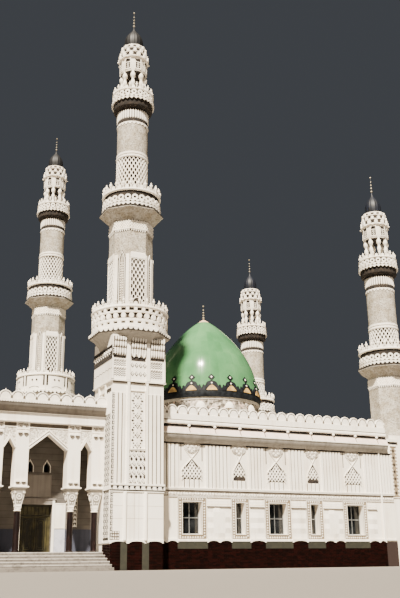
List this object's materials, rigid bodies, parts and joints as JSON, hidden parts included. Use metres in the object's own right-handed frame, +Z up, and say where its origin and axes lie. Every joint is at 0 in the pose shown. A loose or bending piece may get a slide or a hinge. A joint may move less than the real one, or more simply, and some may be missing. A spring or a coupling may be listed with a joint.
{
  "type": "mosque building",
  "caption": "Domed mosque with tall and short galleried minarets, a lobed parapet, a hall with windows, and an arcaded porch with steps and a double door that opens.",
  "frame": {"origin": "on the ground under the middle of the building between the tall and the short minarets, at the underside of the floor", "axes": "+X along the front to the right, +Y from the front to the back, +Z up"},
  "size_m": [29.27, 24.0684, 35.1],
  "materials": {
    "plaster": "lime-washed plaster, cream white, matt",
    "stone": "pale grey dressed stone, matt",
    "marble": "pale honed marble paving, satin",
    "maroon_marble": "polished dark maroon marble",
    "dome_green": "pale green glazed covering, satin",
    "cap_dark": "dark navy glazed covering, glossy",
    "bronze": "olive gold painted metal, satin",
    "window_glass": "dark clear glass",
    "roof_screed": "grey screed, matt"
  },
  "bodies": {
    "building": {"floor": "marble", "roof_left": "roof_screed", "roof_right": "roof_screed", "front_wall": "plaster", "front_glazing": "window_glass", "right_wall": "plaster", "right_glazing": "window_glass", "back_wall": "plaster", "back_glazing": "window_glass", "left_wall": "plaster", "left_glazing": "window_glass", "front_parapet": "plaster", "right_parapet": "plaster", "back_parapet": "plaster", "left_parapet": "plaster", "porch_parapet": "plaster", "porch_steps": "marble", "porch_column_1": "maroon_marble", "porch_column_2": "maroon_marble", "porch_column_3": "maroon_marble", "porch_column_4": "maroon_marble", "porch_arcade": "plaster", "porch_wall_left": "plaster", "porch_wall_right": "plaster", "porch_wall_over_door": "plaster", "door_frame": "bronze", "drum": "stone", "dome_band": "cap_dark", "dome": "dome_green", "tall_front_base": "plaster", "tall_front_low_gallery": "plaster", "tall_front_octagon_shaft": "stone", "tall_front_round_shaft": "stone", "tall_front_lantern": "plaster", "tall_front_cap": "cap_dark", "tall_back_base": "plaster", "tall_back_low_gallery": "plaster", "tall_back_octagon_shaft": "stone", "tall_back_round_shaft": "stone", "tall_back_lantern": "plaster", "tall_back_cap": "cap_dark", "short_front_base": "plaster", "short_front_octagon_shaft": "stone", "short_front_round_shaft": "stone", "short_front_lantern": "plaster", "short_front_cap": "cap_dark", "short_back_base": "plaster", "short_back_octagon_shaft": "stone", "short_back_round_shaft": "stone", "short_back_lantern": "plaster", "short_back_cap": "cap_dark"},
    "left_leaf": {"door_leaf_left": "bronze"},
    "right_leaf": {"door_leaf_right": "bronze"}
  },
  "joints": [
    {"name": "door_leaf_left_hinge", "type": "hinge", "parent": "building", "child": "left_leaf", "pos_m": [-14.5097, -7.31, 0.93], "axis": [0, 0, 1], "range_deg": [0, 90]},
    {"name": "door_leaf_right_hinge", "type": "hinge", "parent": "building", "child": "right_leaf", "pos_m": [-13.0903, -7.31, 0.93], "axis": [0, 0, -1], "range_deg": [0, 90]}
  ]
}
